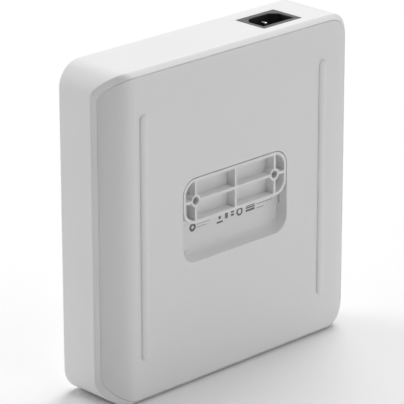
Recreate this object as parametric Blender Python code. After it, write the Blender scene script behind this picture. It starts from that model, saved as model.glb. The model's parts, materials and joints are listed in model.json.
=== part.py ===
# Desktop Ethernet switch with sixteen ports and a built-in mains supply.
# It stands on its port edge (z = 0) with the inlet edge up, its base towards -Y
# and its top cover towards +Y. Metres, +Z up, origin at the centre of the footprint.
#
# The sizes below and the helpers' arguments are millimetres: x across, d for the
# depth behind the plane of the base, z for the height above the port edge.
import bpy
import bmesh
import math
from mathutils import Vector

MM = 0.001
OVER = 2.0               # how far a cutter reaches past the face it opens

# ---- outline and shell ------------------------------------------------------
WIDTH = 184.0            # left to right
HEIGHT = 192.0           # port edge to inlet edge
THICK = 42.2             # base plane to top cover
PLAN_R = 14.4            # corner radius of the outline
EDGE_R = 1.2             # edge round on the top cover
WALL = 2.7               # shell wall, also the width of the rim
SEAM_R = 14.3            # corner radius inside the rim
RIM_SIDE = 2.0           # depth of the rim's slope on the two long edges
RIM_END = 3.3            # and on the two short edges
SEAM = 0.3               # gap between rim and base panel
PANEL_T = 2.0            # thickness of the base panel
LEFT_FLAT, LEFT_W, LEFT_D = 72.0, 17.3, 14.2     # where the left margin's curl starts,
RIGHT_FLAT, RIGHT_W, RIGHT_D = 76.5, 12.8, 2.2   # its width and its depth; and the right
CURL = 3.0               # power of the margin curve

# ---- foot strips and the screws under them -----------------------------------
FOOT_X = 69.0            # either side of the middle
FOOT_W, FOOT_Z0, FOOT_Z1 = 5.5, 25.5, 167.5
FOOT_RISE = 1.5          # how far a strip stands off the base
FOOT_SET = 0.45          # how far it is set into its groove
GROOVE_D, GROOVE_FIT = 0.5, 0.1
SCREW_Z = (36.0, 150.0)
SCREW_R, SCREW_HOLE_R = 1.6, 2.0
SCREW_D0, SCREW_D1 = 0.6, 3.4

# ---- bracket recess and wall bracket -------------------------------------------
RECESS_X, RECESS_W, RECESS_Z0, RECESS_Z1 = 0.5, 81.0, 72.8, 122.1
RECESS_D, RECESS_R = 7.6, 9.5
PAN_WALL, PAN_END, PAN_FLOOR = 3.5, 2.0, 1.8     # wall at the sides, at the ends, floor
PAN_D0 = 0.6             # the pan's walls start inside the panel's thickness
RAIL_D0, RAIL_D1, RAIL_REACH, RAIL_END = 5.4, 7.4, 1.5, 10.0
BRACKET_W, BRACKET_H, BRACKET_D = 80.2, 26.4, 7.2
BRACKET_TOP, BRACKET_R, BRACKET_EDGE = 121.7, 9.0, 0.4
BRACKET_WALL, BRACKET_WEB, BRACKET_SKIN = 1.9, 1.5, 1.4
FLANGE_D0, FLANGE_D1, FLANGE_REACH, FLANGE_HALF = 5.9, 6.9, 1.1, 3.0
HOLE_PITCH, HOLE_R, BOSS_R = 61.3, 2.2, 3.5
LABEL_W, LABEL_H, LABEL_Z, LABEL_R = 74.0, 16.4, 84.3, 1.5
LABEL_T, LABEL_GAP = 0.12, 0.03

# ---- mains inlet -----------------------------------------------------------------
INLET_X, INLET_W, INLET_D0, INLET_D1 = 46.25, 30.3, 9.1, 31.8
INLET_T = 0.6            # thickness of the frame
INLET_SEAT, INLET_FIT = 0.7, 0.1
INLET_HOLE = 1.5         # the shell's hole is this much inside the frame
INLET_BODY = 1.8         # and the inlet's body this much
INLET_DEEP, SOCKET_DEEP = 20.0, 17.0
SOCKET_W, SOCKET_H, SOCKET_CORNER = 24.4, 16.0, 4.5
PIN_W, PIN_H, PIN_FIT = 2.0, 4.0, 0.05
PIN_TIP, PIN_TAIL = 5.0, 24.0
PINS = {                 # across and in depth, from the middle of the inlet
    "inlet_pin_line": (-7.0, -1.5),
    "inlet_pin_neutral": (7.0, -1.5),
    "inlet_pin_earth": (0.0, 3.5),
}

# ---- ports, status light and reset button -------------------------------------------
GANG_X = 33.5            # either side of the middle
GANG_W, GANG_D0, GANG_D1, GANG_Z0, GANG_Z1 = 58.4, 6.4, 34.0, 0.8, 21.0
WINDOW_FIT, WINDOW_DEEP = 0.4, 6.0
PORT_PITCH, PORT_W, PORT_H, PORT_DEEP = 14.0, 11.8, 8.4, 13.0
LATCH_W, LATCH_REACH, LATCH_ROOT, LATCH_DEEP = 6.0, 1.6, 0.5, 7.0
ROWS = ((13.4, -1), (27.0, 1))   # depth of a row's middle, and the side its latch is on
PIPE_X, BUTTON_X, PIPE_D = -73.0, 73.0, 24.0
PIPE_R = 1.5             # the light pipe and the button are equally thick
PIPE_HOLE_R, BUTTON_HOLE_R = 1.8, 1.9
BUTTON_Z0, BUTTON_Z1, PIPE_Z1 = 0.6, 8.0, 14.0

# ---- boards and what they carry --------------------------------------------------------
BOARD_D = 3.6            # front of both boards
BOARD_T = 1.6
SEAT_D = BOARD_D + BOARD_T + 0.1      # where the parts on a board start
HEATSINK_X, HEATSINK_Z0, HEATSINK_Z1 = 17.0, 27.0, 61.0
HEATSINK_D0, HEATSINK_D1, FIN_D0, FIN_D1 = 7.4, 10.0, 9.0, 20.0
FINS, FIN_PITCH, FIN_T = 6, 6.2, 3.0
MAGNETICS_X = (-52.0, -30.0, 30.0, 52.0)
MAGNETICS_W, MAGNETICS_D1, MAGNETICS_Z0, MAGNETICS_Z1 = 16.0, 11.3, 28.0, 42.0
CAPACITORS = {           # across, height, radius, depth of the end
    "bulk_capacitor_1": (-50.0, 146.0, 9.0, 34.0),
    "bulk_capacitor_2": (-28.0, 146.0, 7.0, 26.0),
}
FUSE_D, FUSE_Z, FUSE_R, FUSE_X0, FUSE_X1 = 8.6, 160.0, 3.0, 42.0, 60.0
BOARD_SCREWS = ((-66.0, 60.0), (66.0, 60.0), (-66.0, 22.8), (66.0, 22.8))
BOARD_SCREW_R, BOARD_SCREW_D1 = 2.6, 7.0
BLOCKS = {               # plain pieces: limits across, in depth and in height
    "main_board": ((-70, 70), (BOARD_D, BOARD_D + BOARD_T), (4, 64)),
    "switch_chip": ((-12, 12), (SEAT_D, SEAT_D + 2), (32, 56)),
    "power_board": ((-70, 70), (BOARD_D, BOARD_D + BOARD_T), (126, 166)),
    "transformer_core": ((-14, 12), (SEAT_D, 25), (132, 160)),
    "transformer_winding": ((-10, 8), (25.2, 28), (136, 156)),
    "choke": ((20, 36), (SEAT_D, 21), (134, 152)),
    "output_connector": ((-56, -48), (SEAT_D, SEAT_D + 7), (128, 136)),
    "input_connector": ((-56, -48), (SEAT_D, SEAT_D + 7), (50, 58)),
    "power_harness": ((-54, -50), (12.6, 14.6), (51, 135)),
    "insulator_sheet": ((-66, 66), (2.3, 2.7), (124.5, 167)),
    "heat_plate": ((-72, 72), (37, 38.2), (26, 166)),
    "reset_switch": ((70, 76), (21, 27), (8.6, 12.6)),
}


# ---- helpers ---------------------------------------------------------------------------
def point(x, d, z):
    """World position in metres."""
    return (x * MM, (d - (THICK - FOOT_RISE) / 2) * MM, z * MM)


def material(name, colour, roughness=0.5, metallic=0.0):
    finish = bpy.data.materials.new(name)
    finish.use_nodes = True
    shader = finish.node_tree.nodes["Principled BSDF"]
    shader.inputs["Base Color"].default_value = (*colour, 1)
    shader.inputs["Roughness"].default_value = roughness
    shader.inputs["Metallic"].default_value = metallic
    finish.diffuse_color = (*colour, 1)
    return finish


def solid(name, corners, faces, finish):
    """Object through the corners given; its origin is the middle of its box."""
    places = [Vector(point(*corner)) for corner in corners]
    middle = Vector([(min(p[k] for p in places) + max(p[k] for p in places)) / 2
                     for k in range(3)])
    mesh = bpy.data.meshes.new(name)
    mesh.from_pydata([p - middle for p in places], [], faces)
    bm = bmesh.new()
    bm.from_mesh(mesh)
    bmesh.ops.recalc_face_normals(bm, faces=bm.faces)
    bm.to_mesh(mesh)
    bm.free()
    if finish:
        mesh.materials.append(finish)
    ob = bpy.data.objects.new(name, mesh)
    ob.location = middle
    bpy.context.collection.objects.link(ob)
    return ob


def loft(name, loops, finish):
    """Closed body through loops that have the same number of points."""
    n = len(loops[0])
    corners = [corner for loop in loops for corner in loop]
    faces = []
    for k in range(len(loops) - 1):
        a, b = k * n, (k + 1) * n
        for i in range(n):
            j = (i + 1) % n
            faces.append((a + i, a + j, b + j, b + i))
    faces.append(tuple(range(n - 1, -1, -1)))
    faces.append(tuple(range((len(loops) - 1) * n, len(loops) * n)))
    return solid(name, corners, faces, finish)


def box(name, x, d, z, finish=None):
    """Box between pairs of limits across, in depth and in height."""
    loops = [[(x[0], d[0], h), (x[1], d[0], h), (x[1], d[1], h), (x[0], d[1], h)] for h in z]
    return loft(name, loops, finish)


def block(name, finish):
    """One of the plain pieces."""
    box(name, *BLOCKS[name], finish)


def rounded(cx, cz, w, h, r, seg):
    """Outline of a rounded rectangle, as x and z."""
    points = []
    for sx, sz, start in ((1, 1, 0), (-1, 1, 90), (-1, -1, 180), (1, -1, 270)):
        for k in range(seg + 1):
            t = math.radians(start + 90 * k / seg)
            points.append((cx + sx * (w / 2 - r) + r * math.cos(t),
                           cz + sz * (h / 2 - r) + r * math.sin(t)))
    return points


def slab(name, centre, size, r, steps, finish=None, seg=6):
    """Rounded rectangle facing the base; steps are pairs of depth and inset."""
    loops = []
    for d, inset in steps:
        w, h = size[0] - 2 * inset, size[1] - 2 * inset
        loops.append([(x, d, z) for x, z in rounded(*centre, w, h, max(r - inset, 0.05), seg)])
    return loft(name, loops, finish)


def rod(name, axis, centre, r, ends, finish=None, seg=16):
    """Round bar along x, d or z; centre gives the other two in that order."""
    loops = []
    for v in ends:
        loop = []
        for k in range(seg):
            t = 2 * math.pi * k / seg
            a, b = centre[0] + r * math.cos(t), centre[1] + r * math.sin(t)
            loop.append({"x": (v, a, b), "d": (a, v, b), "z": (a, b, v)}[axis])
        loops.append(loop)
    return loft(name, loops, finish)


def boolean(ob, other, operation):
    other.hide_render = True
    other.display_type = "WIRE"
    step = ob.modifiers.new(other.name, "BOOLEAN")
    step.operation = operation
    step.solver = "EXACT"
    step.object = other


def cut(ob, other):
    boolean(ob, other, "DIFFERENCE")


def add(ob, other):
    boolean(ob, other, "UNION")


def around(middle, width, grow=0.0):
    """Limits of a width about its middle, grown at both ends."""
    return (middle - width / 2 - grow, middle + width / 2 + grow)


# ---- outline of the body --------------------------------------------------------------
def base_curve(x):
    """Depth of the base surface: flat in the middle, curled back at both sides."""
    if x < 0:
        return LEFT_D * (max(-x - LEFT_FLAT, 0) / LEFT_W) ** CURL
    return RIGHT_D * (max(x - RIGHT_FLAT, 0) / RIGHT_W) ** CURL


def outline(inset, r, seg=12):
    """Around the body: x, z, the x of the seam beside the point, and 1 on a short edge."""
    points = []
    core_x, core_z = WIDTH / 2 - inset - r, HEIGHT / 2 - inset - r
    for sx, sz, start in ((1, 1, 0), (-1, 1, 90), (-1, -1, 180), (1, -1, 270)):
        for k in range(seg + 1):
            t = math.radians(start + 90 * k / seg)
            seam_x = sx * (WIDTH / 2 - WALL - SEAM_R) + SEAM_R * math.cos(t)
            points.append((sx * core_x + r * math.cos(t),
                           HEIGHT / 2 + sz * core_z + r * math.sin(t), seam_x, abs(math.sin(t))))
    return points


def ring(inset, r, depth):
    """Loop around the body at a fixed depth, or at a depth worked out at each point."""
    return [(x, depth(seam_x, end) if callable(depth) else depth, z)
            for x, z, seam_x, end in outline(inset, r)]


def rim_depth(seam_x, end):
    """Depth of the rim's outer edge: it follows the seam, and slopes more at the ends."""
    return base_curve(seam_x) + RIM_SIDE + (RIM_END - RIM_SIDE) * end


# ---- shell --------------------------------------------------------------------------------
def make_top_cover(finish):
    """Shell open towards the base: inner face and walls, rim, outer walls, rounded edge."""
    small = EDGE_R * 0.3
    cover = loft("top_cover", [
        ring(WALL, SEAM_R, THICK - WALL),
        ring(WALL, SEAM_R, lambda seam_x, end: base_curve(seam_x)),
        ring(0.0, PLAN_R, rim_depth),
        ring(0.0, PLAN_R, THICK - EDGE_R),
        ring(small, PLAN_R - small, THICK - small),
        ring(EDGE_R, PLAN_R - EDGE_R, THICK)], finish)
    x, d = around(INLET_X, INLET_W), (INLET_D0, INLET_D1)
    cut(cover, box("inlet_hole", (x[0] + INLET_HOLE, x[1] - INLET_HOLE),
                   (d[0] + INLET_HOLE, d[1] - INLET_HOLE), (HEIGHT - WALL - OVER, HEIGHT + OVER)))
    cut(cover, box("inlet_seat", (x[0] - INLET_FIT, x[1] + INLET_FIT),
                   (d[0] - INLET_FIT, d[1] + INLET_FIT), (HEIGHT - INLET_SEAT, HEIGHT + OVER)))
    for side, letter in ((-1, "a"), (1, "b")):
        cut(cover, box("window_" + letter, around(side * GANG_X, GANG_W, WINDOW_FIT),
                       (GANG_D0 - WINDOW_FIT, GANG_D1 + WINDOW_FIT), (-OVER, WINDOW_DEEP)))
    cut(cover, rod("pipe_hole", "z", (PIPE_X, PIPE_D), PIPE_HOLE_R, (-OVER, WINDOW_DEEP)))
    cut(cover, rod("button_hole", "z", (BUTTON_X, PIPE_D), BUTTON_HOLE_R, (-OVER, WINDOW_DEEP)))


def make_base_cover(finish):
    """Panel inside the rim: ruled in height, curled at both sides, with the recess pan."""
    inset = WALL + SEAM
    r = SEAM_R - SEAM
    core = WIDTH / 2 - inset - r
    arc = [core + r * math.sin(math.radians(9 * k)) for k in range(11)]
    stations = [-x for x in reversed(arc)] + [0.0] + arc
    corners = []
    for x in stations:
        into = max(abs(x) - core, 0)
        drop = r - math.sqrt(max(r ** 2 - into ** 2, 0))
        low, high, d = inset + drop, HEIGHT - inset - drop, base_curve(x)
        corners += [(x, d, low), (x, d, high), (x, d + PANEL_T, high), (x, d + PANEL_T, low)]
    last = 4 * (len(stations) - 1)
    faces = [(0, 1, 2, 3), tuple(last + k for k in (3, 2, 1, 0))]
    for i in range(0, last, 4):
        for k in range(4):
            a, b = i + k, i + (k + 1) % 4
            faces.append((a, b, b + 4, a + 4))
    panel = solid("base_cover", corners, faces, finish)
    cut_recess(panel)
    for side, name in ((-1, "left"), (1, "right")):
        x = side * FOOT_X
        cut(panel, slab("groove_" + name, (x, (FOOT_Z0 + FOOT_Z1) / 2),
                        (FOOT_W + 2 * GROOVE_FIT, FOOT_Z1 - FOOT_Z0 + 2 * GROOVE_FIT),
                        FOOT_W / 2 + GROOVE_FIT, [(-OVER, 0), (GROOVE_D, 0)]))
        for k, z in enumerate(SCREW_Z):
            cut(panel, rod("screw_hole_%s_%d" % (name, k), "d", (x, z), SCREW_HOLE_R,
                           (-OVER, PANEL_T + OVER)))


def cut_recess(panel):
    """Pan that holds the bracket, with a groove in each side wall for its flanges."""
    centre = (RECESS_X, (RECESS_Z0 + RECESS_Z1) / 2)
    height = RECESS_Z1 - RECESS_Z0
    add(panel, slab("pan", centre, (RECESS_W + 2 * PAN_WALL, height + 2 * PAN_END), RECESS_R + 2,
                    [(PAN_D0, 0), (RECESS_D + PAN_FLOOR, 0)]))
    cut(panel, slab("recess", centre, (RECESS_W, height), RECESS_R, [(-OVER, 0), (RECESS_D, 0)]))
    cut(panel, box("rails", around(RECESS_X, RECESS_W, RAIL_REACH), (RAIL_D0, RAIL_D1),
                   (RECESS_Z0 + RAIL_END, RECESS_Z1 - RAIL_END)))


def make_feet(finish):
    """Half-round strips, flat on the crest, that hide the case screws."""
    for side, name in ((-1, "foot_strip_left"), (1, "foot_strip_right")):
        slab(name, (side * FOOT_X, (FOOT_Z0 + FOOT_Z1) / 2), (FOOT_W, FOOT_Z1 - FOOT_Z0),
             FOOT_W / 2, [(FOOT_SET, 0), (-0.5, 0), (-1.1, 0.5), (-FOOT_RISE, 1.5)], finish, 8)


def make_case_screws(finish):
    for row, side in enumerate((-1, 1)):
        for k, z in enumerate(SCREW_Z):
            rod("case_screw_%d" % (2 * row + k + 1), "d", (side * FOOT_X, z), SCREW_R,
                (SCREW_D0, SCREW_D1), finish, 12)


# ---- wall bracket ------------------------------------------------------------------------------
def make_bracket(finish):
    """Tray open towards the wall, with crossed webs and two screw bosses."""
    z = BRACKET_TOP - BRACKET_H / 2
    centre = (RECESS_X, z)
    through = (-OVER, BRACKET_D + OVER)
    bracket = slab("wall_bracket", centre, (BRACKET_W, BRACKET_H), BRACKET_R,
                   [(BRACKET_D, 0), (BRACKET_EDGE, 0), (0.0, BRACKET_EDGE)], finish, 8)
    add(bracket, box("flanges", around(RECESS_X, RECESS_W, FLANGE_REACH),
                     (FLANGE_D0, FLANGE_D1), around(z, 2 * FLANGE_HALF)))
    # every pocket follows the outer radius, so all are cut from one inner slab
    pockets = slab("pockets", centre,
                   (BRACKET_W - 2 * BRACKET_WALL, BRACKET_H - 2 * BRACKET_WALL),
                   BRACKET_R - BRACKET_WALL, [(-OVER, 0), (BRACKET_D - BRACKET_SKIN, 0)])
    cut(pockets, box("long_web", around(RECESS_X, BRACKET_W), through, around(z, BRACKET_WEB)))
    for k, x in enumerate((-HOLE_PITCH / 2, 0.0, HOLE_PITCH / 2)):
        cut(pockets, box("web_%d" % k, around(RECESS_X + x, BRACKET_WEB), through,
                         around(z, BRACKET_H)))
    holes = [(RECESS_X + side * HOLE_PITCH / 2, z) for side in (-1, 1)]
    for k, place in enumerate(holes):
        cut(pockets, rod("boss_%d" % k, "d", place, BOSS_R, through, seg=20))
    cut(bracket, pockets)
    for k, place in enumerate(holes):
        cut(bracket, rod("screw_bore_%d" % k, "d", place, HOLE_R, through, seg=20))


def make_label(finish):
    """Printed film on the floor of the recess, under the bracket's path."""
    back = RECESS_D - LABEL_GAP
    slab("info_label", (RECESS_X, LABEL_Z), (LABEL_W, LABEL_H), LABEL_R,
         [(back, 0), (back - LABEL_T, 0)], finish, 3)


# ---- mains inlet ----------------------------------------------------------------------------------
def make_inlet(finish, pin_finish):
    """Frame in its seat, with a keyed socket and three blades behind it."""
    x, d, middle = around(INLET_X, INLET_W), (INLET_D0, INLET_D1), (INLET_D0 + INLET_D1) / 2
    inlet = box("inlet_housing", x, d, (HEIGHT - INLET_T, HEIGHT), finish)
    add(inlet, box("inlet_body", (x[0] + INLET_BODY, x[1] - INLET_BODY),
                   (d[0] + INLET_BODY, d[1] - INLET_BODY), (HEIGHT - INLET_DEEP, HEIGHT - 0.2)))
    w, h, c = SOCKET_W / 2, SOCKET_H / 2, SOCKET_CORNER
    profile = [(-w, -h), (w, -h), (w, h - c), (w - c, h), (-w + c, h), (-w, h - c)]
    cut(inlet, loft("socket", [[(INLET_X + a, middle + b, z) for a, b in profile]
                               for z in (HEIGHT - SOCKET_DEEP, HEIGHT + OVER)], None))
    for name, (across, deep) in PINS.items():
        px, pd = INLET_X + across, middle + deep
        cut(inlet, box(name + "_slot", around(px, PIN_W, PIN_FIT), around(pd, PIN_H, PIN_FIT),
                       (HEIGHT - INLET_DEEP - OVER, HEIGHT - SOCKET_DEEP + OVER)))
        box(name, around(px, PIN_W), around(pd, PIN_H), (HEIGHT - PIN_TAIL, HEIGHT - PIN_TIP),
            pin_finish)


# ---- ports, status light and reset button -----------------------------------------------------------
def make_port_block(letter, x, finish):
    """Four columns of two ports; each has its latch slot on the side away from the other row."""
    name = "port_block_" + letter
    block = box(name, around(x, GANG_W), (GANG_D0, GANG_D1), (GANG_Z0, GANG_Z1), finish)
    for column in range(4):
        px = x + (column - 1.5) * PORT_PITCH
        for row, (d, latch) in enumerate(ROWS):
            port = "%s_%d_%d" % (name, column, row)
            cut(block, box(port, around(px, PORT_W), around(d, PORT_H),
                           (-OVER, GANG_Z0 + PORT_DEEP)))
            ends = sorted((d + latch * (PORT_H / 2 - LATCH_ROOT),
                           d + latch * (PORT_H / 2 + LATCH_REACH)))
            cut(block, box(port + "_latch", around(px, LATCH_W), ends,
                           (-OVER, GANG_Z0 + LATCH_DEEP)))


def make_small_parts(clear, grey, black):
    """Light pipe and reset button, one at each end of the port edge."""
    rod("status_light_pipe", "z", (PIPE_X, PIPE_D), PIPE_R, (0.0, PIPE_Z1), clear)
    rod("reset_button", "z", (BUTTON_X, PIPE_D), PIPE_R, (BUTTON_Z0, BUTTON_Z1), grey)
    block("reset_switch", black)


# ---- boards and what they carry ------------------------------------------------------------------------
def make_main_board(board, chip, metal, steel):
    block("main_board", board)
    block("switch_chip", chip)
    heatsink = box("heatsink", (-HEATSINK_X, HEATSINK_X), (HEATSINK_D0, HEATSINK_D1),
                   (HEATSINK_Z0, HEATSINK_Z1), metal)
    for k in range(FINS):
        x = k * FIN_PITCH - HEATSINK_X
        add(heatsink, box("fin_%d" % k, (x, x + FIN_T), (FIN_D0, FIN_D1),
                          (HEATSINK_Z0, HEATSINK_Z1)))
    for k, x in enumerate(MAGNETICS_X):
        box("magnetics_%d" % (k + 1), around(x, MAGNETICS_W), (SEAT_D, MAGNETICS_D1),
            (MAGNETICS_Z0, MAGNETICS_Z1), chip)
    for k, place in enumerate(BOARD_SCREWS):
        rod("board_screw_%d" % (k + 1), "d", place, BOARD_SCREW_R,
            (SEAT_D, BOARD_SCREW_D1), steel, 12)


def make_power_board(board, chip, sleeve, tape, ceramic):
    block("power_board", board)
    for name, (x, z, r, end) in CAPACITORS.items():
        rod(name, "d", (x, z), r, (SEAT_D, end), sleeve, 24)
    block("transformer_core", chip)
    block("transformer_winding", tape)
    block("choke", tape)
    rod("fuse", "x", (FUSE_D, FUSE_Z), FUSE_R, (FUSE_X0, FUSE_X1), ceramic, 12)


def make_wiring(ceramic, wire, film, metal):
    """Harness between the boards, the sheet under the mains parts and the heat plate."""
    block("output_connector", ceramic)
    block("input_connector", ceramic)
    block("power_harness", wire)
    block("insulator_sheet", film)
    block("heat_plate", metal)


# ---- bodies -----------------------------------------------------------------------------------------------
def parent_to_bodies(moving):
    """One empty for each moving body, at its piece; everything else belongs to the chassis."""
    chassis = bpy.data.objects.new("body_chassis", None)
    bpy.context.collection.objects.link(chassis)
    empties = {}
    for name in moving:
        empty = bpy.data.objects.new("body_" + name, None)
        bpy.context.collection.objects.link(empty)
        empty.location = bpy.data.objects[name].location
        empty.parent = chassis
        empties[name] = empty
    bpy.context.view_layer.update()
    for ob in bpy.data.objects:
        if ob.type == "MESH":
            ob.parent = empties.get(ob.name, chassis)
            ob.matrix_parent_inverse = ob.parent.matrix_world.inverted()


def main():
    for ob in list(bpy.data.objects):
        bpy.data.objects.remove(ob, do_unlink=True)
    metal = material("heatsink_alu", (0.55, 0.56, 0.57), 0.4, 1.0)
    steel = material("zinc_steel", (0.62, 0.63, 0.64), 0.35, 1.0)
    nickel = material("nickel_contact", (0.72, 0.70, 0.66), 0.25, 1.0)
    jack = material("jack_black", (0.02, 0.02, 0.022))
    chip = material("chip_black", (0.02, 0.02, 0.02))
    board = material("board_green", (0.02, 0.12, 0.06))
    tape = material("winding_tape", (0.75, 0.55, 0.08))
    sleeve = material("capacitor_sleeve", (0.03, 0.03, 0.06), 0.4)
    ceramic = material("fuse_ceramic", (0.8, 0.78, 0.7), 0.4)

    make_top_cover(material("shell_white", (0.80, 0.80, 0.80)))
    make_base_cover(material("panel_white", (0.76, 0.76, 0.76), 0.55))
    make_feet(material("foot_white", (0.76, 0.76, 0.76), 0.6))
    make_case_screws(steel)
    make_bracket(material("bracket_white", (0.76, 0.76, 0.76)))
    make_label(material("label_print", (0.72, 0.72, 0.72), 0.6))
    make_inlet(material("inlet_grey", (0.05, 0.05, 0.052), 0.45), nickel)
    make_port_block("a", -GANG_X, jack)
    make_port_block("b", GANG_X, jack)
    make_small_parts(material("light_pipe", (0.85, 0.88, 0.9), 0.2),
                     material("button_grey", (0.25, 0.25, 0.26)), chip)
    make_main_board(board, chip, metal, steel)
    make_power_board(board, chip, sleeve, tape, ceramic)
    make_wiring(ceramic, material("wire_jacket", (0.35, 0.03, 0.03)),
                material("insulator_sheet", (0.05, 0.05, 0.05), 0.6), metal)
    parent_to_bodies(("wall_bracket", "reset_button"))


main()
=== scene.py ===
import json
import math
import bpy
import bmesh
from mathutils import Matrix, Vector


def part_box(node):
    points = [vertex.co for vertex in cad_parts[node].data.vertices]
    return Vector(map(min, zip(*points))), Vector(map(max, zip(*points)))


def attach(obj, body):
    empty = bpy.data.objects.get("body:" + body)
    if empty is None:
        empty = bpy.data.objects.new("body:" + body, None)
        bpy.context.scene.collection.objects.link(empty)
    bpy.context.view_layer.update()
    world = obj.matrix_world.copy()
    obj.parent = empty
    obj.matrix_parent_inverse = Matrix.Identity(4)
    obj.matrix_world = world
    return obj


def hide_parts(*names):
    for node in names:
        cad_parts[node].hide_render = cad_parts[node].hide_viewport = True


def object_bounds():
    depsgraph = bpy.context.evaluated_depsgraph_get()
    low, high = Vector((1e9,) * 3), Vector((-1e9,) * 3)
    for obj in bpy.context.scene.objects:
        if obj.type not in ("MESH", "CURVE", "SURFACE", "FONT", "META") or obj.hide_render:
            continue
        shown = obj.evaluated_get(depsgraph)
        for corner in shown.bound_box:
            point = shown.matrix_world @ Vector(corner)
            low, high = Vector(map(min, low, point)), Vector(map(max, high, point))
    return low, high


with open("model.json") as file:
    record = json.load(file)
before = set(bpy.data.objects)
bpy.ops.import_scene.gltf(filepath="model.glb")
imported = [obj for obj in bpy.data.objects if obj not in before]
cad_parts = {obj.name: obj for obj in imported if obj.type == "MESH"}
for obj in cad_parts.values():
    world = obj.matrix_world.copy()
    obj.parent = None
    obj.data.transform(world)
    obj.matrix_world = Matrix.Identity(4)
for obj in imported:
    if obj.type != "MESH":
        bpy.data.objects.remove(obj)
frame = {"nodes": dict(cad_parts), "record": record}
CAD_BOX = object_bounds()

# The switch stands on its port edge: base towards -Y, top cover towards +Y,
# inlet edge up. Helper coordinates are millimetres: x across, d depth from the
# plane of the base, z height. Lists of steps run along a piece's own axis.

# ---- sizes --------------------------------------------------------------------
MM = 1000
OVER = 2                  # how far a cutter passes the upper edge
FOOT_RISE = 1.5           # foot strips stand this far above the base
BOX_LOW, BOX_HIGH = CAD_BOX[0], CAD_BOX[1]
Y_BASE = BOX_LOW[1] * MM + FOOT_RISE
WIDTH = (BOX_HIGH[0] - BOX_LOW[0]) * MM
HEIGHT = (BOX_HIGH[2] - BOX_LOW[2]) * MM
THICK = (BOX_HIGH[1] - BOX_LOW[1]) * MM - FOOT_RISE

PLAN_R, SEAM_R = 14.4, 14.3   # corner radii of the outline and of the seam
WALL = 2.7                # rim width, side wall to seam
SEAM = 0.14               # visible gap between rim and base panel
EDGE_R = 1.2              # round edge of the top cover
PANEL_T = 2.0             # base panel thickness
RIM_SIDE, RIM_END = 2.0, 3.3  # how far the rim falls back, long and short edges
# across the rim: share of the way from wall to seam, and depth added
RIM_STEPS = ((1, 0.35), (0.97, 0.12), (0.9, 0.0), (0.6, 0.0), (0.3, 0.0),
             (0.08, 0.05), (0.0, 0.3), (0.0, 0.9))
# edge of the base panel: inset, and depth added
PANEL_STEPS = ((0.0, PANEL_T), (0.0, 0.3), (0.08, 0.08), (0.3, 0.0))

# the base curls back to the side walls: start and width across, and depth
LEFT_FLAT, LEFT_W, LEFT_D = 72.0, 17.3, 14.2
RIGHT_FLAT, RIGHT_W, RIGHT_D = 76.5, 12.8, 2.2
CURL = 3.0                # power of the curl

# recess in the base
RECESS_X, RECESS_Z0, RECESS_Z1 = 0.5, 72.8, 122.1
RECESS_W, RECESS_D, RECESS_R = 81.0, 7.6, 9.5
RECESS_H = RECESS_Z1 - RECESS_Z0
RECESS_MID = (RECESS_Z0 + RECESS_Z1) / 2
# pan behind the recess: depth it starts at, and sizes added to the recess's own
PAN_START, PAN_W, PAN_H, PAN_R, PAN_FLOOR = 0.6, 7, 4, 2, 1.8
FILLET_D, FILLET_Z = 5.6, 3.2  # rounded foot of the recess's lower wall
FILLET_TURNS = 10
FLANGE_GROOVE = (5.75, 7.05)   # depths of the grooves the flanges slide in
# grooves below and above the bracket's middle, and into the side walls
GROOVE_DOWN, GROOVE_UP, GROOVE_REACH = 20.9, 3.4, 1.5
FOOT_GAP, FOOT_GROOVE, FOOT_SET = 0.1, 0.5, 0.45
DOME_X, DOME_STEP, DOME_Z = 3.6, 34.3, 76.2
DOME_STEPS = ((-1.2, 0.5), (-1.1, 0.9), (-0.8, 1.2), (0.5, 1.3))

# wall bracket
BRACKET_W, BRACKET_H, BRACKET_D, BRACKET_R = 80.2, 26.4, 7.2, 9.0
BRACKET_WALL, WEB, BACK = 1.9, 1.5, 1.4
HOLE_X, HOLE_R, HOLE_FLARE, BOSS_R = 30.65, 2.2, 0.3, 3.5
FLANGE = (5.9, 6.9)       # depths of the side flanges
FLANGE_HALF = 3
CROSS_WEB_HALF = 20       # longer than the pocket it crosses

# printed marks: bars (x0, x1, z0, z1) and rings (x, z, inner and outer radius)
MARK_BARS = (
    (-22.8, -12.6, 90.7, 90.95), (-22.8, -15.0, 89.0, 89.25),
    (-7.1, -2.4, 86.9, 88.0), (-5.7, -3.9, 89.2, 91.0), (-0.7, 1.6, 88.4, 91.6),
    (4.0, 6.4, 88.6, 89.9), (4.0, 6.4, 90.5, 91.6),
    (15.7, 22.8, 88.0, 89.3), (15.7, 22.8, 89.8, 90.7), (15.7, 22.8, 91.1, 91.9),
    (24.3, 36.8, 90.6, 90.9), (24.3, 30.0, 88.0, 88.3))
MARK_RINGS = ((-25.8, 89.9, 0.9, 2.5), (10.8, 89.7, 1.3, 2.5))
INK_UP, INK_DOWN = 0.02, 0.005  # print above and below the label's face

# mains inlet
# depths below the rim: frame, its seat, the hole in the shell, in the frame
INLET_FRAME_T, INLET_SEAT, INLET_HOLE, FRAME_HOLE = 0.6, 0.7, 5, 3
INLET_GAP, INLET_LIP, POT_INSET = 0.12, 1.5, 1.8
SOCKET_HALF_X, SOCKET_HALF_D, SOCKET_CHAMFER = 12.2, 8.0, 4.5
POT_TOP, POT_DEEP, SOCKET_DEEP = 0.65, 20, 17
PIN_SLOT = (22, 15)       # through the pot's floor
# pin tips below the rim: the earth pin reaches furthest, so it meets the plug first
PIN_TIP = {"inlet_pin_line": 4.0, "inlet_pin_neutral": 4.0, "inlet_pin_earth": 2.4}

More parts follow.
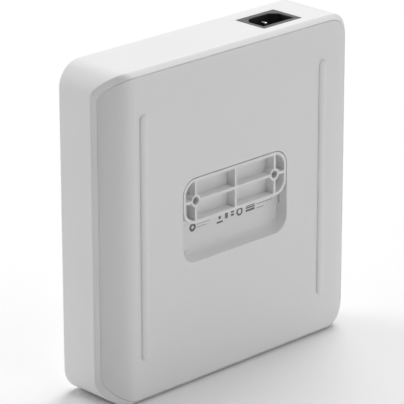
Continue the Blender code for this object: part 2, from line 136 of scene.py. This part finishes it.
# network ports
PORT_BLOCKS = ("port_block_a", "port_block_b")
PORT_COLUMNS, PORT_ROWS, PORT_PITCH = 4, (13.4, 27.0), 14.0
PORT_W, PORT_H, PORT_DEEP = 11.8, 8.4, 13
LATCH_HALF, LATCH_IN, LATCH_OUT, LATCH_DEEP = 3.0, 0.5, 1.6, 7
WIRES, WIRE_PITCH, WIRE_HALF_X, WIRE_HALF_D = 8, 1.02, 0.18, 0.15
# a sprung wire leaves the wall, bends and leans into the cavity: (from wall, height)
WIRE_PATH = ((0.15, 1.2), (0.5, 1.6), (2.6, 9.0), (2.9, 12.8))
PORT_GAP, PIPE_HOLE_R, RESET_HOLE_R = 0.4, 1.8, 1.9
EDGE_CUT = (-2, 6)        # heights cut through the port edge

CORNERS = ((1, 1, 0), (-1, 1, 90), (-1, -1, 180), (1, -1, 270))  # side signs, start angle


def metres(x, d, z):
    return (x / MM, (d + Y_BASE) / MM, z / MM)


def span(node):
    """Box of a CAD node in helper coordinates: x, d and z pairs."""
    a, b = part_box(node)
    return ((a[0] * MM, b[0] * MM), (a[1] * MM - Y_BASE, b[1] * MM - Y_BASE),
            (a[2] * MM, b[2] * MM))


def mid(pair):
    return (pair[0] + pair[1]) / 2


def size(pair):
    return pair[1] - pair[0]


def grown(pair, by):
    return (pair[0] - by, pair[1] + by)


def around(centre, half):
    return (centre - half, centre + half)


HOLE_Z = mid(span("wall_bracket")[2])  # height of the bracket's middle and its screw holes


# ---- materials ------------------------------------------------------------------
GLOSS_DRIFT = 0.04        # roughness either side of the stated value
DRIFT_SCALE = 22.0
BUMP_HEIGHT = 0.0001      # metres


def material(name, rgb, rough, metal=0.0, bump=0.03, scale=2500.0, vary=0.02,
             spec=0.5, transmission=0.0, stretch=None):
    m = bpy.data.materials.new(name)
    m.use_nodes = True
    tree = m.node_tree
    shader = tree.nodes["Principled BSDF"]
    shader.inputs["Metallic"].default_value = metal
    shader.inputs["Specular IOR Level"].default_value = spec
    shader.inputs["Transmission Weight"].default_value = transmission
    place = tree.nodes.new("ShaderNodeTexCoord")
    mapping = tree.nodes.new("ShaderNodeMapping")
    if stretch:
        mapping.inputs["Scale"].default_value = stretch
    tree.links.new(place.outputs["Object"], mapping.inputs["Vector"])
    # moulded or rolled micro texture
    grain = tree.nodes.new("ShaderNodeTexNoise")
    grain.inputs["Scale"].default_value = scale
    grain.inputs["Detail"].default_value = 3.0
    tree.links.new(mapping.outputs["Vector"], grain.inputs["Vector"])
    relief = tree.nodes.new("ShaderNodeBump")
    relief.inputs["Strength"].default_value = bump
    relief.inputs["Distance"].default_value = BUMP_HEIGHT
    tree.links.new(grain.outputs["Fac"], relief.inputs["Height"])
    tree.links.new(relief.outputs["Normal"], shader.inputs["Normal"])
    # slow drift of tone and gloss over the piece
    drift = tree.nodes.new("ShaderNodeTexNoise")
    drift.inputs["Scale"].default_value = DRIFT_SCALE
    drift.inputs["Detail"].default_value = 2.0
    tree.links.new(place.outputs["Object"], drift.inputs["Vector"])
    tone = tree.nodes.new("ShaderNodeValToRGB")
    tone.color_ramp.elements[0].position = 0.3
    tone.color_ramp.elements[1].position = 0.7
    tone.color_ramp.elements[0].color = (*[max(c * (1 - vary), 0) for c in rgb], 1)
    tone.color_ramp.elements[1].color = (*[min(c * (1 + vary), 1) for c in rgb], 1)
    tree.links.new(drift.outputs["Fac"], tone.inputs["Fac"])
    tree.links.new(tone.outputs["Color"], shader.inputs["Base Color"])
    gloss = tree.nodes.new("ShaderNodeMapRange")
    gloss.inputs["To Min"].default_value = max(rough - GLOSS_DRIFT, 0.02)
    gloss.inputs["To Max"].default_value = min(rough + GLOSS_DRIFT, 1.0)
    tree.links.new(drift.outputs["Fac"], gloss.inputs["Value"])
    tree.links.new(gloss.outputs["Result"], shader.inputs["Roughness"])
    return m


WHITE = (0.80, 0.80, 0.80)
FINISH = {
    "shell_white": material("shell", WHITE, 0.50, bump=0.10, scale=3200, vary=0.006),
    "panel_white": material("panel", WHITE, 0.58, bump=0.16, scale=2600, vary=0.006),
    "foot_white": material("foot", WHITE, 0.62, bump=0.12, scale=2200, vary=0.008),
    "bracket_white": material("bracket", WHITE, 0.5, bump=0.10, scale=2600, vary=0.008),
    "label_print": material("label", (0.79, 0.79, 0.79), 0.6, bump=0.05, scale=3000,
                            vary=0.005),
    "inlet_grey": material("inlet_frame", (0.135, 0.135, 0.137), 0.6, bump=0.12,
                           scale=3000, vary=0.03, spec=0.2),
    "zinc_steel": material("zinc", (0.60, 0.61, 0.62), 0.34, 1.0, bump=0.06, scale=900,
                           vary=0.05, stretch=(1, 1, 12)),
    "nickel_contact": material("nickel", (0.74, 0.72, 0.68), 0.24, 1.0, bump=0.03,
                               scale=1500, vary=0.04),
    "jack_black": material("jack", (0.018, 0.018, 0.02), 0.48, bump=0.10, scale=3000,
                           vary=0.08),
    "board_green": material("solder_mask", (0.012, 0.11, 0.05), 0.4, bump=0.2, scale=500,
                            vary=0.15),
    "chip_black": material("mould_compound", (0.02, 0.02, 0.021), 0.55, bump=0.25,
                           scale=3500, vary=0.08),
    "heatsink_alu": material("mill_alu", (0.58, 0.59, 0.6), 0.38, 1.0, bump=0.12,
                             scale=600, vary=0.05, stretch=(1, 1, 14)),
    "capacitor_sleeve": material("sleeve", (0.02, 0.022, 0.05), 0.32, bump=0.05,
                                 scale=800, vary=0.08),
    "winding_tape": material("tape", (0.72, 0.5, 0.06), 0.4, bump=0.10, scale=700,
                             vary=0.06),
    "light_pipe": material("pipe", (0.86, 0.88, 0.9), 0.16, bump=0.02, scale=900,
                           vary=0.02, transmission=0.6),
    "button_grey": material("button", (0.22, 0.22, 0.23), 0.5, bump=0.1, scale=2500,
                            vary=0.05),
    "insulator_sheet": material("film", (0.04, 0.04, 0.042), 0.5, bump=0.08, scale=1200,
                                vary=0.08),
    "fuse_ceramic": material("ceramic", (0.78, 0.75, 0.66), 0.4, bump=0.08, scale=1500,
                             vary=0.04),
    "wire_jacket": material("wire", (0.33, 0.025, 0.025), 0.5, bump=0.08, scale=1500,
                            vary=0.08),
}
INK = material("print_ink", (0.17, 0.17, 0.175), 0.6, bump=0.04, scale=3000, vary=0.03)
GOLD = material("contact_gold", (0.86, 0.62, 0.22), 0.22, 1.0, bump=0.03, scale=1500,
                vary=0.04)

# every carried-over CAD node takes the finish of its slot
for entry in frame["record"]["subparts"]:
    node_mesh = frame["nodes"][entry["node"]].data
    node_mesh.materials.clear()
    node_mesh.materials.append(FINISH[entry["material_slot"]])


# ---- mesh helpers ---------------------------------------------------------------
def mesh(name, verts, faces, finish):
    me = bpy.data.meshes.new(name)
    me.from_pydata([metres(*v) for v in verts], [], faces)
    bm = bmesh.new()
    bm.from_mesh(me)
    bmesh.ops.remove_doubles(bm, verts=bm.verts, dist=1e-7)
    bmesh.ops.recalc_face_normals(bm, faces=bm.faces)
    bm.to_mesh(me)
    bm.free()
    ob = bpy.data.objects.new(name, me)
    bpy.context.collection.objects.link(ob)
    if finish:
        me.materials.append(finish)
    return ob


def loft(name, loops, finish=None, cap=None):
    """Skin over equal loops, closed at both ends by one face or by a cap's faces."""
    n = len(loops[0])
    verts = [v for loop in loops for v in loop]
    faces = []
    for k in range(len(loops) - 1):
        a, b = k * n, (k + 1) * n
        for i in range(n):
            j = (i + 1) % n
            faces.append((a + i, a + j, b + j, b + i))
    for first in (0, (len(loops) - 1) * n):
        if cap:
            faces += [tuple(first + i for i in f) for f in cap]
        else:
            faces.append(tuple(range(first, first + n)))
    return mesh(name, verts, faces, finish)


def box(name, xs, ds, zs, finish=None):
    (x0, x1), (d0, d1) = xs, ds
    return loft(name, [[(x0, d0, z), (x1, d0, z), (x1, d1, z), (x0, d1, z)] for z in zs],
                finish)


def rounded(cx, cz, w, h, r, seg=8):
    """Rounded rectangle in x and z."""
    points = []
    for sx, sz, a0 in CORNERS:
        for k in range(seg + 1):
            t = math.radians(a0 + 90 * k / seg)
            points.append((cx + sx * (w / 2 - r) + r * math.cos(t),
                           cz + sz * (h / 2 - r) + r * math.sin(t)))
    return points


def slab(name, cx, cz, w, h, r, steps, finish=None, seg=8):
    """Rounded block across the depth; steps are (depth, inset) pairs."""
    least_r = 0.03
    return loft(name, [[(x, d, z) for x, z in
                        rounded(cx, cz, w - 2 * i, h - 2 * i, max(r - i, least_r), seg)]
                       for d, i in steps], finish)


def rod(name, axis, centre, steps, finish=None, seg=32):
    """Turned bar along d or z; steps are (position, radius) pairs."""
    loops = []
    for v, r in steps:
        loop = []
        for k in range(seg):
            t = 2 * math.pi * k / seg
            a, b = centre[0] + r * math.cos(t), centre[1] + r * math.sin(t)
            loop.append((a, v, b) if axis == "d" else (a, b, v))
        loops.append(loop)
    return loft(name, loops, finish)


def apply(ob):
    depsgraph = bpy.context.evaluated_depsgraph_get()
    me = bpy.data.meshes.new_from_object(ob.evaluated_get(depsgraph))
    old = ob.data
    ob.modifiers.clear()
    ob.data = me
    bpy.data.meshes.remove(old)


def discard(ob):
    me = ob.data
    bpy.data.objects.remove(ob, do_unlink=True)
    bpy.data.meshes.remove(me)


def boolean(ob, others, op="DIFFERENCE"):
    for other in others:
        md = ob.modifiers.new("b", "BOOLEAN")
        md.operation = op
        md.solver = "EXACT"
        md.object = other
        apply(ob)
        discard(other)


def bevel(ob, width, segments):
    """Round the sharp edges; the width is in metres."""
    md = ob.modifiers.new("edge", "BEVEL")
    md.width = width
    md.segments = segments
    md.limit_method = "ANGLE"
    apply(ob)


def smooth(ob, angle):
    me = ob.data
    bm = bmesh.new()
    bm.from_mesh(me)
    bmesh.ops.remove_doubles(bm, verts=bm.verts, dist=2e-6)
    bmesh.ops.dissolve_degenerate(bm, edges=bm.edges, dist=1e-6)
    bm.to_mesh(me)
    bm.free()
    me.shade_smooth()
    me.set_sharp_from_angle(angle=math.radians(angle))
    md = ob.modifiers.new("weighted", "WEIGHTED_NORMAL")
    md.keep_sharp = True
    md.weight = 60


def piece(ob, body, nodes, angle=32.0, soft=True):
    """Hand a finished piece over: its body and the CAD nodes it replaces."""
    if soft:
        smooth(ob, angle)
    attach(ob, body)
    if nodes:
        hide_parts(*nodes)


def join(name, obs):
    """One object from several, keeping each face's material."""
    whole = bmesh.new()
    finishes = []
    for ob in obs:
        places = []
        for m in ob.data.materials:
            if m not in finishes:
                finishes.append(m)
            places.append(finishes.index(m))
        part = bmesh.new()
        part.from_mesh(ob.data)
        for face in part.faces:
            face.material_index = places[face.material_index] if places else 0
        me = bpy.data.meshes.new("t")
        part.to_mesh(me)
        part.free()
        whole.from_mesh(me)
        bpy.data.meshes.remove(me)
        discard(ob)
    me = bpy.data.meshes.new(name)
    whole.to_mesh(me)
    whole.free()
    joined = bpy.data.objects.new(name, me)
    bpy.context.collection.objects.link(joined)
    for m in finishes:
        me.materials.append(m)
    return joined


# ---- outline of the body ----------------------------------------------------------
def base_curve(x):
    """Depth of the base's surface across its width."""
    if x < 0:
        return LEFT_D * (max(-x - LEFT_FLAT, 0) / LEFT_W) ** CURL
    return RIGHT_D * (max(x - RIGHT_FLAT, 0) / RIGHT_W) ** CURL


def outline(inset, r, seg=30):
    """Around the body: x, z, the x of the seam beside the point, and 1 on a short edge."""
    points = []
    core_x, core_z = WIDTH / 2 - inset - r, HEIGHT / 2 - inset - r
    for sx, sz, a0 in CORNERS:
        for k in range(seg + 1):
            t = math.radians(a0 + 90 * k / seg)
            seam_x = sx * (WIDTH / 2 - WALL - SEAM_R) + SEAM_R * math.cos(t)
            points.append((sx * core_x + r * math.cos(t),
                           HEIGHT / 2 + sz * core_z + r * math.sin(t),
                           seam_x, abs(math.sin(t))))
    return points


def ring(inset, r, depth):
    """Loop around the body; depth is a number or a function of seam x and edge share."""
    return [(x, depth(seam_x, n) if callable(depth) else depth, z)
            for x, z, seam_x, n in outline(inset, r)]


def rim(t, lift):
    """Loop across the rim: t = 0 at the side wall, 1 at the seam."""
    def depth(x, n):
        fall = RIM_SIDE + (RIM_END - RIM_SIDE) * n
        return base_curve(x) + fall * (1 - t) + lift

    return ring(WALL * t, PLAN_R + (SEAM_R - PLAN_R) * t, depth)


def ruled_cap(n):
    """Faces that pair the left and right halves of a loop, so the cap follows the curl."""
    return [(i, i + 1, n - 2 - i, n - 1 - i) for i in range(n // 2 - 1)]


# ---- top cover ----------------------------------------------------------------------
def make_top_cover():
    loops = [ring(WALL, SEAM_R, THICK - WALL)]
    for t, lift in RIM_STEPS:
        loops.append(rim(t, lift))
    turns = 6
    for k in range(turns + 1):
        a = math.radians(90 * k / turns)
        inset = EDGE_R * (1 - math.cos(a))
        loops.append(ring(inset, PLAN_R - inset, THICK - EDGE_R * (1 - math.sin(a))))
    shell = loft("top_cover_skin", loops, FINISH["shell_white"])

    xs, ds, _ = span("inlet_housing")
    cuts = [box("inlet_hole", grown(xs, -INLET_LIP), grown(ds, -INLET_LIP),
                (HEIGHT - INLET_HOLE, HEIGHT + OVER)),
            box("inlet_seat", grown(xs, INLET_GAP), grown(ds, INLET_GAP),
                (HEIGHT - INLET_SEAT, HEIGHT + OVER))]
    for node in PORT_BLOCKS:
        xs, ds, _ = span(node)
        cuts.append(box("port_hole", grown(xs, PORT_GAP), grown(ds, PORT_GAP), EDGE_CUT))
    for node, r in (("status_light_pipe", PIPE_HOLE_R), ("reset_button", RESET_HOLE_R)):
        xs, ds, _ = span(node)
        cuts.append(rod("pin_hole", "z", (mid(xs), mid(ds)), [(z, r) for z in EDGE_CUT]))
    boolean(shell, cuts)
    piece(shell, "chassis", ["top_cover"])


# ---- base panel -----------------------------------------------------------------------
def recess_cutter():
    """The recess, whose lower wall meets its floor in a rounded foot."""
    lip, lip_mid = -0.3, -0.12
    foot_inset, foot_turns = 0.5, 3
    steps = [(-1, lip, 0), (0.0, lip, 0), (0.1, lip_mid, 0), (0.3, 0, 0),
             (RECESS_D - FILLET_D, 0, 0)]
    for k in range(1, FILLET_TURNS + 1):
        a = math.radians(90 * k / FILLET_TURNS)
        inset = foot_inset * max(k - (FILLET_TURNS - foot_turns), 0) / foot_turns
        steps.append((RECESS_D - FILLET_D + FILLET_D * math.sin(a), inset,
                      FILLET_Z * (1 - math.cos(a))))
    loops = []
    for d, inset, up in steps:
        section = rounded(RECESS_X, RECESS_MID + up / 2, RECESS_W - 2 * inset,
                          RECESS_H - up - 2 * inset, RECESS_R - inset, 16)
        loops.append([(x, d, z) for x, z in section])
    return loft("recess", loops)


def make_base_panel():
    loops = []
    for inset, lift in PANEL_STEPS:
        loops.append(ring(WALL + SEAM + inset, SEAM_R - SEAM - inset,
                          lambda x, n: base_curve(x) + lift))
    panel = loft("base_cover_skin", loops, FINISH["panel_white"], ruled_cap(len(loops[0])))
    boolean(panel, [slab("pan", RECESS_X, RECESS_MID, RECESS_W + PAN_W, RECESS_H + PAN_H,
                         RECESS_R + PAN_R,
                         [(PAN_START, 0), (RECESS_D + PAN_FLOOR, 0)], seg=14)],
            "UNION")

    grooves = box("grooves", around(RECESS_X, RECESS_W / 2 + GROOVE_REACH), FLANGE_GROOVE,
                  (HOLE_Z - GROOVE_DOWN, HOLE_Z + GROOVE_UP))
    cuts = [recess_cutter(), grooves]
    for node in ("foot_strip_left", "foot_strip_right"):
        xs, _, zs = span(node)
        cuts.append(slab("foot_groove", mid(xs), mid(zs), size(xs) + 2 * FOOT_GAP,
                         size(zs) + 2 * FOOT_GAP, size(xs) / 2 + FOOT_GAP,
                         [(-1, 0), (FOOT_GROOVE, 0)], seg=12))
    boolean(panel, cuts)
    # two small domes on the floor of the recess, just below where the bracket stops
    domes = [rod("dome", "d", (DOME_X + s * DOME_STEP, DOME_Z),
                 [(RECESS_D + d, r) for d, r in DOME_STEPS], seg=24) for s in (-1, 1)]
    boolean(panel, domes, "UNION")
    piece(panel, "chassis", ["base_cover"])


# ---- foot strips: low half-oval bars with rounded ends ----------------------------------
def make_foot_strips():
    straight, crest, turns = 0.1, 0.15, 8
    for node in ("foot_strip_left", "foot_strip_right"):
        xs, _, zs = span(node)
        r = size(xs) / 2
        steps = [(FOOT_SET, 0.0), (-straight, 0.0)]
        for k in range(1, turns + 1):
            a = math.radians(90 * k / turns)
            steps.append((-straight - (FOOT_RISE - straight) * math.sin(a),
                          (r - crest) * (1 - math.cos(a))))
        strip = slab(node + "_skin", mid(xs), mid(zs), size(xs), size(zs), r, steps,
                     FINISH["foot_white"], 14)
        piece(strip, "chassis", [node], 50)


# ---- wall bracket -------------------------------------------------------------------------
def make_bracket():
    bracket = slab("wall_bracket_skin", RECESS_X, HOLE_Z, BRACKET_W, BRACKET_H, BRACKET_R,
                   [(BRACKET_D, 0), (0.5, 0), (0.15, 0.12), (0.0, 0.45)],
                   FINISH["bracket_white"], 16)
    boolean(bracket, [box("flanges", span("wall_bracket")[0], FLANGE,
                          around(HOLE_Z, FLANGE_HALF))], "UNION")
    # the pockets: one hollow, less the webs and bosses that stay
    through = (-2, 9)
    inner = slab("pockets", RECESS_X, HOLE_Z, BRACKET_W - 2 * BRACKET_WALL,
                 BRACKET_H - 2 * BRACKET_WALL, BRACKET_R - BRACKET_WALL,
                 [(-1, -0.25), (0.0, -0.25), (0.25, 0), (BRACKET_D - BACK, 0)], seg=14)
    stays = [box("long_web", around(RECESS_X, BRACKET_W / 2), through,
                 around(HOLE_Z, WEB / 2))]
    for x in (RECESS_X - HOLE_X, RECESS_X, RECESS_X + HOLE_X):
        stays.append(box("cross_web", around(x, WEB / 2), through, around(HOLE_Z, CROSS_WEB_HALF)))
    for s in (-1, 1):
        stays.append(rod("boss", "d", (RECESS_X + s * HOLE_X, HOLE_Z),
                         [(d, BOSS_R) for d in through], seg=36))
    boolean(inner, stays)
    boolean(bracket, [inner])
    flared = HOLE_R + HOLE_FLARE
    boolean(bracket, [rod("screw_hole", "d", (RECESS_X + s * HOLE_X, HOLE_Z),
                          [(-2, flared), (0.0, flared), (HOLE_FLARE, HOLE_R), (9, HOLE_R)],
                          seg=36) for s in (-1, 1)])
    piece(bracket, "bracket", ["wall_bracket"])


# ---- label with generic printed marks ------------------------------------------------------
def make_label():
    xs, (face, back), zs = span("info_label")
    label = slab("info_label_skin", mid(xs), mid(zs), size(xs), size(zs), 1.5,
                 [(back, 0), (face + 0.02, 0), (face, 0.03)], FINISH["label_print"], 6)
    piece(label, "chassis", ["info_label"])

    ink = (face - INK_UP, face + INK_DOWN)
    marks = [box("mark", (x0, x1), ink, (z0, z1), INK) for x0, x1, z0, z1 in MARK_BARS]
    for cx, cz, inner_r, outer_r in MARK_RINGS:
        mark = rod("mark", "d", (cx, cz), [(d, outer_r) for d in ink], INK)
        boolean(mark, [rod("mark_hole", "d", (cx, cz),
                           [(face - 1, inner_r), (face + 1, inner_r)])])
        marks.append(mark)
    piece(join("label_marks", marks), "chassis", [], soft=False)


# ---- mains inlet --------------------------------------------------------------------------------
def socket(name, xs, ds, bottom):
    """Six-sided opening of the inlet, from a depth below the rim up through it."""
    cx, cd = mid(xs), mid(ds)
    low, high = cd - SOCKET_HALF_D, cd + SOCKET_HALF_D
    w, c = SOCKET_HALF_X, SOCKET_CHAMFER
    shape = [(-w, low), (w, low), (w, high - c), (w - c, high), (c - w, high), (-w, high - c)]
    return loft(name, [[(cx + x, d, z) for x, d in shape]
                       for z in (HEIGHT - bottom, HEIGHT + OVER / 2)])


def make_inlet():
    xs, ds, _ = span("inlet_housing")
    frame_ring = box("inlet_frame", xs, ds, (HEIGHT - INLET_FRAME_T, HEIGHT),
                     FINISH["inlet_grey"])
    boolean(frame_ring, [socket("frame_hole", xs, ds, FRAME_HOLE)])
    bevel(frame_ring, 0.00018, 2)
    piece(frame_ring, "chassis", ["inlet_housing"])

    pot = box("inlet_pot", grown(xs, -POT_INSET), grown(ds, -POT_INSET),
              (HEIGHT - POT_DEEP, HEIGHT - POT_TOP), FINISH["jack_black"])
    boolean(pot, [socket("pot_hole", xs, ds, SOCKET_DEEP)])
    pin_gap = 0.05
    for node, below in PIN_TIP.items():
        pin_xs, pin_ds, (foot, _) = span(node)
        boolean(pot, [box("pin_slot", grown(pin_xs, pin_gap), grown(pin_ds, pin_gap),
                          (HEIGHT - PIN_SLOT[0], HEIGHT - PIN_SLOT[1]))])
        pin = box(node + "_blade", pin_xs, pin_ds, (foot, HEIGHT - below),
                  FINISH["nickel_contact"])
        bevel(pin, 0.0006, 3)
        piece(pin, "chassis", [node])
    piece(pot, "chassis", [])


# ---- network ports ----------------------------------------------------------------------------------
def contact_wire(x, wall, side, z0):
    loops = []
    for away, up in WIRE_PATH:
        d, z = wall + side * away, z0 + up
        loops.append([(x - WIRE_HALF_X, d - WIRE_HALF_D, z), (x + WIRE_HALF_X, d - WIRE_HALF_D, z),
                      (x + WIRE_HALF_X, d + WIRE_HALF_D, z), (x - WIRE_HALF_X, d + WIRE_HALF_D, z)])
    return loft("wire", loops, GOLD)


def make_ports():
    for node in PORT_BLOCKS:
        xs, ds, (z0, z1) = span(node)
        block = box(node + "_body", xs, ds, (z0, z1), FINISH["jack_black"])
        cuts, wires = [], []
        for column in range(PORT_COLUMNS):
            px = mid(xs) + (column - 1.5) * PORT_PITCH
            for row, pd in enumerate(PORT_ROWS):
                cuts.append(box("cavity", around(px, PORT_W / 2), around(pd, PORT_H / 2),
                                (-1, z0 + PORT_DEEP)))
                # the latch is on the outer side of each row, the wires on the inner one
                side = -1 if row == 0 else 1
                latch = sorted((pd + side * (PORT_H / 2 - LATCH_IN),
                                pd + side * (PORT_H / 2 + LATCH_OUT)))
                cuts.append(box("latch", around(px, LATCH_HALF), latch,
                                (-1, z0 + LATCH_DEEP)))
                for w in range(WIRES):
                    wires.append(contact_wire(px + (w - 3.5) * WIRE_PITCH,
                                              pd - side * (PORT_H / 2), side, z0))
        boolean(block, cuts)
        piece(block, "chassis", [node])
        piece(join(node + "_contacts", wires), "chassis", [], soft=False)


# ---- floor, light, camera --------------------------------------------------------------------------
FLOOR_FRONT, FLOOR_BACK, FLOOR_HALF, FLOOR_TOP = -3.0, 1.6, 4.0, 4.0  # metres
SWEEP_R, FLOOR_TURN, FLOOR_DROP = 1.2, 44.0, 0.0002

# name, place, size and power; each looks at the middle of the body
LIGHTS = (
    ("overhead", (0.0, 0.25, 1.9), (1.8, 1.8), 15),
    ("right_over", (1.2, 0.6, 1.7), (1.2, 1.2), 22),
    ("right_front", (1.4, -1.3, 0.7), (1.0, 1.2), 4),
    ("behind", (-0.75, 1.9, 0.7), (1.0, 1.2), 21),
    ("front", (0.3, -2.0, 0.45), (1.0, 0.7), 5),
    ("front_high", (0.0, -1.2, 2.0), (1.0, 1.0), 8))
LIGHT_TARGET = (0, 0, 0.1)
WORLD_STRENGTH = 0.05

AZ, EL, ROLL = map(math.radians, (-44.1, 20.39, -0.09))
FOCAL, PICTURE, SENSOR = 2882.3, 404, 36   # focal length and width in pixels, sensor in mm
DISTANCE, SHIFT_X, SHIFT_Y = 1636.3, 18.61, -93.84  # camera to base, and aim point, in mm


def make_floor():
    finish = material("floor_sweep", (0.9, 0.9, 0.9), 0.9, bump=0.0, vary=0.0, spec=0.1)
    profile = [(FLOOR_FRONT, 0.0), (FLOOR_BACK, 0.0)]
    for degrees in range(10, 91, 10):
        a = math.radians(degrees)
        profile.append((FLOOR_BACK + SWEEP_R * math.sin(a), SWEEP_R - SWEEP_R * math.cos(a)))
    profile.append((FLOOR_BACK + SWEEP_R, FLOOR_TOP))
    turn = Matrix.Rotation(math.radians(FLOOR_TURN), 4, "Z")
    bm = bmesh.new()
    rows = []
    for y, z in profile:
        rows.append([bm.verts.new(turn @ Vector((x, y, z - FLOOR_DROP)))
                     for x in (-FLOOR_HALF, FLOOR_HALF)])
    for a, b in zip(rows, rows[1:]):
        bm.faces.new((a[0], a[1], b[1], b[0]))
    me = bpy.data.meshes.new("floor")
    bm.to_mesh(me)
    bm.free()
    me.shade_smooth()
    floor = bpy.data.objects.new("floor", me)
    me.materials.append(finish)
    bpy.context.collection.objects.link(floor)


def make_world():
    world = bpy.data.worlds.new("studio")
    bpy.context.scene.world = world
    world.use_nodes = True
    background = world.node_tree.nodes["Background"]
    background.inputs["Color"].default_value = (1, 1, 1, 1)
    background.inputs["Strength"].default_value = WORLD_STRENGTH


def make_light(name, at, spread, power):
    light = bpy.data.lights.new(name, "AREA")
    light.shape = "RECTANGLE"
    light.size, light.size_y = spread
    light.energy = power
    ob = bpy.data.objects.new(name, light)
    ob.location = at
    aim = Vector(LIGHT_TARGET) - Vector(at)
    ob.rotation_euler = aim.to_track_quat("-Z", "Y").to_euler()
    bpy.context.collection.objects.link(ob)


def make_camera():
    right = Vector((math.cos(AZ), math.sin(AZ), 0))
    back = Vector((math.sin(AZ) * math.cos(EL), -math.cos(AZ) * math.cos(EL), math.sin(EL)))
    up = back.cross(right)
    right, up = (right * math.cos(ROLL) + up * math.sin(ROLL),
                 up * math.cos(ROLL) - right * math.sin(ROLL))
    place = -SHIFT_X * right - SHIFT_Y * up + DISTANCE * back
    camera = bpy.data.cameras.new("camera")
    camera.lens = SENSOR * FOCAL / PICTURE
    camera.clip_end = 30
    ob = bpy.data.objects.new("camera", camera)
    axes = Matrix((right, up, back)).transposed().to_4x4()
    ob.matrix_world = Matrix.Translation(Vector(metres(*place))) @ axes
    bpy.context.collection.objects.link(ob)
    bpy.context.scene.camera = ob


make_top_cover()
make_base_panel()
make_foot_strips()
make_bracket()
make_label()
make_inlet()
make_ports()
make_floor()
make_world()
for light_row in LIGHTS:
    make_light(*light_row)
make_camera()
bpy.context.scene.view_settings.view_transform = "Standard"
